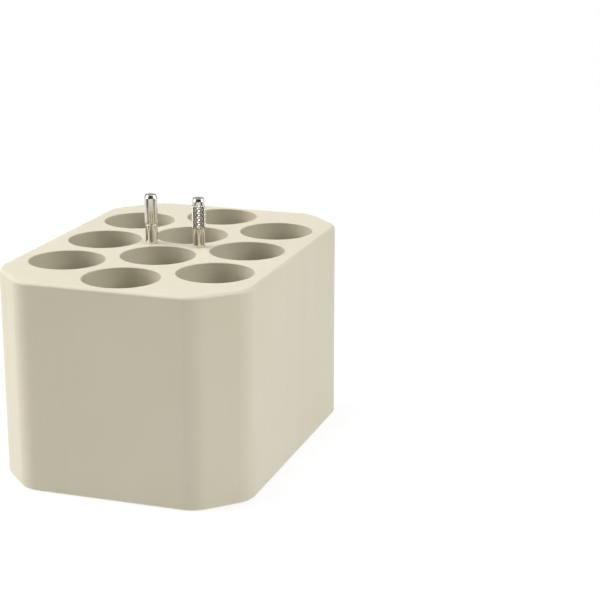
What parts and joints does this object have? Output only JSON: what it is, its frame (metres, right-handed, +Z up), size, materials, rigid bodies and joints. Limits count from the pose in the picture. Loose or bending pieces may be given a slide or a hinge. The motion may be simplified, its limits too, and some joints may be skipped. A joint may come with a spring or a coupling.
{
  "type": "tube block",
  "caption": "Eight-sided beige plastic tube block with staggered blind bores for centrifuge tubes and a plain and a knurled steel lifting pin in its top face.",
  "frame": {"origin": "centre of the block's base", "axes": "+Z up along the bores, +Y along the column of four bores, +X across the three columns"},
  "size_m": [0.1054, 0.1434, 0.1054],
  "materials": {
    "block_plastic": "satin",
    "pin_steel": "bright turned steel"
  },
  "bodies": {
    "block": {"tube_block": "block_plastic"},
    "plain_pin": {"plain_lifting_pin": "pin_steel"},
    "knurled_pin": {"knurled_lifting_pin": "pin_steel"}
  },
  "joints": [
    {"name": "plain_pin_pull", "type": "slide", "parent": "block", "child": "plain_pin", "axis": [0, 0, 1], "range_m": [0, 0.015]},
    {"name": "knurled_pin_pull", "type": "slide", "parent": "block", "child": "knurled_pin", "axis": [0, 0, 1], "range_m": [0, 0.015]}
  ]
}
